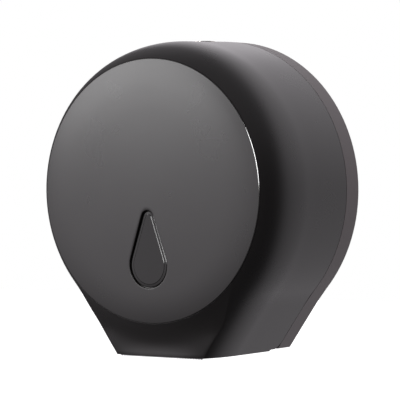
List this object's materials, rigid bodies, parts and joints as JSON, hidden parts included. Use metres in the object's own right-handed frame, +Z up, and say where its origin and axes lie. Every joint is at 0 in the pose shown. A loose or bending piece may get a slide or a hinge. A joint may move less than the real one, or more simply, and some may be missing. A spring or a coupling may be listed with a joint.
{
  "type": "jumbo toilet roll dispenser",
  "caption": "Wall dispenser for one jumbo toilet roll: round wall plate, deep hinged cover with a drop window and toothed lip, free running roll hub, cam lock.",
  "frame": {"origin": "on the wall plane, at the axis of the roll hub and of the round body", "axes": "+X to the right as seen from the front, +Y into the wall, +Z up; the front of the cover faces -Y"},
  "size_m": [0.27, 0.1336, 0.2824],
  "materials": {
    "cover_smoke": "smoked moulded plastic, satin",
    "window_smoke": "smoked clear plastic",
    "plate_abs": "moulded plastic, fine texture",
    "hub_abs": "moulded plastic",
    "adapter_abs": "moulded plastic",
    "strip_abs": "moulded plastic",
    "felt": "pressed felt",
    "steel": "zinc plated",
    "lock_metal": "nickel plated"
  },
  "bodies": {
    "wall_unit": {"back_plate": "plate_abs", "spindle_post": "hub_abs", "spindle_screws": "steel", "hub_washer": "steel", "hub_screw": "steel", "brake_washer": "felt", "hinge_pin_left": "steel", "hinge_pin_right": "steel", "lock_keeper": "steel", "keeper_screws": "steel"},
    "cover": {"front_cover": "cover_smoke", "level_window": "window_smoke", "tear_strip": "strip_abs", "strip_clips": "strip_abs", "lock_housing": "lock_metal", "lock_nut": "lock_metal"},
    "hub": {"roll_hub": "hub_abs", "core_adapter": "adapter_abs"},
    "lock": {"lock_plug": "lock_metal", "lock_cam": "steel", "cam_screw": "steel"}
  },
  "joints": [
    {"name": "cover_hinge", "type": "hinge", "parent": "wall_unit", "child": "cover", "pos_m": [0, -0.0294, -0.1366], "axis": [1, 0, 0], "range_deg": [0, 90]},
    {"name": "hub_spin", "type": "hinge", "parent": "wall_unit", "child": "hub", "pos_m": [0, -0.06, 0], "axis": [0, 1, 0], "continuous": true},
    {"name": "lock_turn", "type": "hinge", "parent": "cover", "child": "lock", "pos_m": [0, -0.045, 0.125], "axis": [0, 0, 1], "range_deg": [0, 90]}
  ]
}
